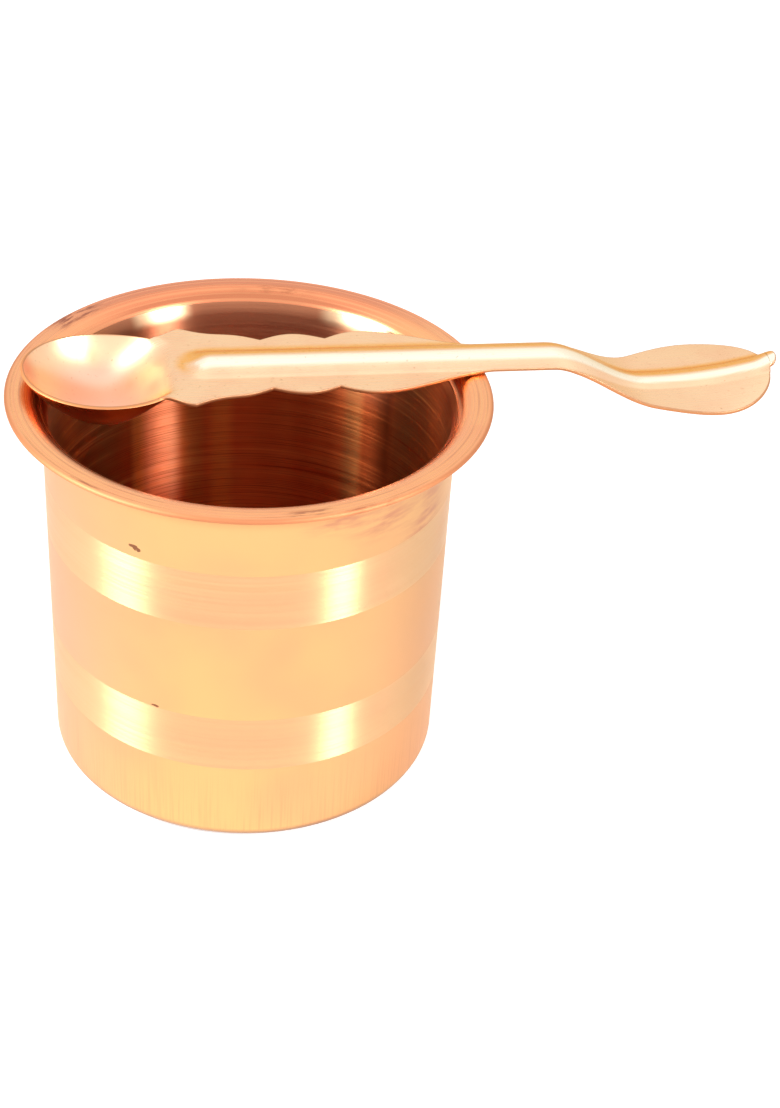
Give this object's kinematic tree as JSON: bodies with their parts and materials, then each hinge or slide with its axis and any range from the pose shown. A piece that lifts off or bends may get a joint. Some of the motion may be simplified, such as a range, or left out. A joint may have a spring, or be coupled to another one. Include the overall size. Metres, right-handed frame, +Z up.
{
  "type": "panchpatra with spoon",
  "caption": "Straight-sided copper ritual water cup with a turned-out lip, and a loose stamped offering spoon that lies across its rim.",
  "frame": {"origin": "middle of the cup's flat base, on the surface it stands on", "axes": "+Z up along the cup's axis, +X towards the end of the spoon's handle as it lies on the rim"},
  "size_m": [0.1233, 0.075, 0.0676],
  "materials": {
    "cup_copper": "satin",
    "spoon_copper": "polished"
  },
  "bodies": {
    "cup": {"cup": "cup_copper"},
    "spoon": {"spoon": "spoon_copper"}
  },
  "joints": [
    {"name": "spoon_lift", "type": "slide", "parent": "cup", "child": "spoon", "axis": [0, 0, 1], "range_m": [0, 0.12]}
  ]
}
